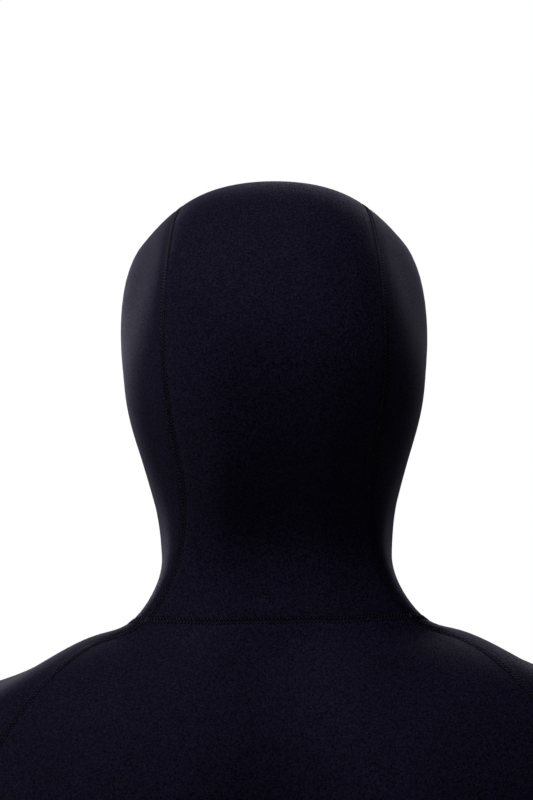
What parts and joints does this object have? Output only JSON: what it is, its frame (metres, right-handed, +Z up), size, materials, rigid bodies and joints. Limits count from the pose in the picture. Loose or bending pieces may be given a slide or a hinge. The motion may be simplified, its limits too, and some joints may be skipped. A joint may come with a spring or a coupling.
{
  "type": "hooded wetsuit",
  "caption": "Hooded one-piece neoprene wetsuit in its worn shape, with raglan sleeves, a front zip, shaped elbow and knee panels, and seals at face, wrists and ankles.",
  "frame": {"origin": "between the shoulders, where the suit hangs on the wearer or a hanger", "axes": "+Z up to the crown, +X to the wearer's left, the wearer faces -Y"},
  "size_m": [0.6878, 0.2473, 1.6852],
  "materials": {
    "jersey_neoprene": "nylon jersey lined neoprene, matt with a faint sheen",
    "smooth_skin": "smooth skin neoprene, satin",
    "knee_pad": "moulded rubber print, satin",
    "zip_tape": "woven polyester tape",
    "zip_teeth": "moulded acetal",
    "zip_metal": "moulded nylon"
  },
  "bodies": {
    "trunk": {"neck_back_section": "jersey_neoprene", "neck_left_section": "jersey_neoprene", "neck_right_section": "jersey_neoprene", "back_panel": "jersey_neoprene", "left_raglan_panel": "jersey_neoprene", "right_raglan_panel": "jersey_neoprene", "chest_left_panel": "jersey_neoprene", "chest_right_panel": "jersey_neoprene", "lumbar_panel": "jersey_neoprene", "seat_panel": "jersey_neoprene", "left_side_panel": "jersey_neoprene", "right_side_panel": "jersey_neoprene", "abdomen_panel": "jersey_neoprene", "crotch_gusset": "jersey_neoprene", "left_underarm_panel": "jersey_neoprene", "right_underarm_panel": "jersey_neoprene", "left_front_thigh_panel": "jersey_neoprene", "right_front_thigh_panel": "jersey_neoprene", "left_rear_thigh_panel": "jersey_neoprene", "right_rear_thigh_panel": "jersey_neoprene", "zip_tape_left": "zip_tape", "zip_teeth_left": "zip_teeth", "zip_tape_right": "zip_tape", "zip_teeth_right": "zip_teeth", "zip_top_stop": "zip_teeth", "zip_bottom_stop": "zip_teeth", "zip_underflap": "smooth_skin"},
    "hood": {"hood_centre_panel": "jersey_neoprene", "hood_left_panel": "jersey_neoprene", "hood_right_panel": "jersey_neoprene", "hood_face_panel": "jersey_neoprene", "face_seal": "smooth_skin"},
    "left_upper_arm": {"left_upper_sleeve": "jersey_neoprene", "left_elbow_panel": "jersey_neoprene"},
    "left_forearm": {"left_forearm_panel": "jersey_neoprene", "left_wrist_cuff": "jersey_neoprene", "left_wrist_seal": "smooth_skin"},
    "left_thigh": {"left_thigh_panel": "jersey_neoprene", "left_knee_panel": "jersey_neoprene", "left_knee_pad": "knee_pad"},
    "left_shin": {"left_shin_panel": "jersey_neoprene", "left_calf_panel": "jersey_neoprene", "left_ankle_cuff": "jersey_neoprene", "left_ankle_seal": "smooth_skin"},
    "right_upper_arm": {"right_upper_sleeve": "jersey_neoprene", "right_elbow_panel": "jersey_neoprene"},
    "right_forearm": {"right_forearm_panel": "jersey_neoprene", "right_wrist_cuff": "jersey_neoprene", "right_wrist_seal": "smooth_skin"},
    "right_thigh": {"right_thigh_panel": "jersey_neoprene", "right_knee_panel": "jersey_neoprene", "right_knee_pad": "knee_pad"},
    "right_shin": {"right_shin_panel": "jersey_neoprene", "right_calf_panel": "jersey_neoprene", "right_ankle_cuff": "jersey_neoprene", "right_ankle_seal": "smooth_skin"},
    "zip_slider": {"zip_slider": "zip_metal"},
    "zip_pull_tab": {"zip_pull_tab": "zip_metal"}
  },
  "joints": [
    {"name": "hood_tip_back", "type": "hinge", "parent": "trunk", "child": "hood", "pos_m": [0, 0.03, 0.095], "axis": [-1, 0, 0], "range_deg": [0, 30], "deforming": ["neck_back_section", "neck_left_section", "neck_right_section", "hood_face_panel"]},
    {"name": "left_shoulder_lift", "type": "hinge", "parent": "trunk", "child": "left_upper_arm", "pos_m": [0.189, 0.005, -0.025], "axis": [0, -1, 0], "range_deg": [0, 45], "deforming": ["left_raglan_panel", "left_underarm_panel"]},
    {"name": "left_elbow_bend", "type": "hinge", "parent": "left_upper_arm", "child": "left_forearm", "pos_m": [0.27053, 0.005, -0.32927], "axis": [-0.9659, 0, -0.2588], "range_deg": [0, 75], "deforming": ["left_elbow_panel"]},
    {"name": "right_shoulder_lift", "type": "hinge", "parent": "trunk", "child": "right_upper_arm", "pos_m": [-0.189, 0.005, -0.025], "axis": [0, 1, 0], "range_deg": [0, 45], "deforming": ["right_raglan_panel", "right_underarm_panel"]},
    {"name": "right_elbow_bend", "type": "hinge", "parent": "right_upper_arm", "child": "right_forearm", "pos_m": [-0.27053, 0.005, -0.32927], "axis": [-0.9659, 0, 0.2588], "range_deg": [0, 75], "deforming": ["right_elbow_panel"]},
    {"name": "left_hip_bend", "type": "hinge", "parent": "trunk", "child": "left_thigh", "pos_m": [0.092, 0.022, -0.575], "axis": [-1, 0, 0], "range_deg": [0, 35], "deforming": ["left_front_thigh_panel", "left_rear_thigh_panel"]},
    {"name": "left_knee_bend", "type": "hinge", "parent": "left_thigh", "child": "left_shin", "pos_m": [0.11, -0.002, -0.953], "axis": [1, 0, 0], "range_deg": [0, 85], "deforming": ["left_knee_panel", "left_knee_pad"]},
    {"name": "right_hip_bend", "type": "hinge", "parent": "trunk", "child": "right_thigh", "pos_m": [-0.092, 0.022, -0.575], "axis": [-1, 0, 0], "range_deg": [0, 35], "deforming": ["right_front_thigh_panel", "right_rear_thigh_panel"]},
    {"name": "right_knee_bend", "type": "hinge", "parent": "right_thigh", "child": "right_shin", "pos_m": [-0.11, -0.002, -0.953], "axis": [1, 0, 0], "range_deg": [0, 85], "deforming": ["right_knee_panel", "right_knee_pad"]},
    {"name": "zip_slide", "type": "slide", "parent": "trunk", "child": "zip_slider", "axis": [0, -0.0576, -0.9983], "range_m": [0, 0.37]},
    {"name": "zip_tab_swing", "type": "hinge", "parent": "zip_slider", "child": "zip_pull_tab", "pos_m": [0, -0.09586, -0.01836], "axis": [-1, 0, 0], "range_deg": [0, 150]}
  ]
}
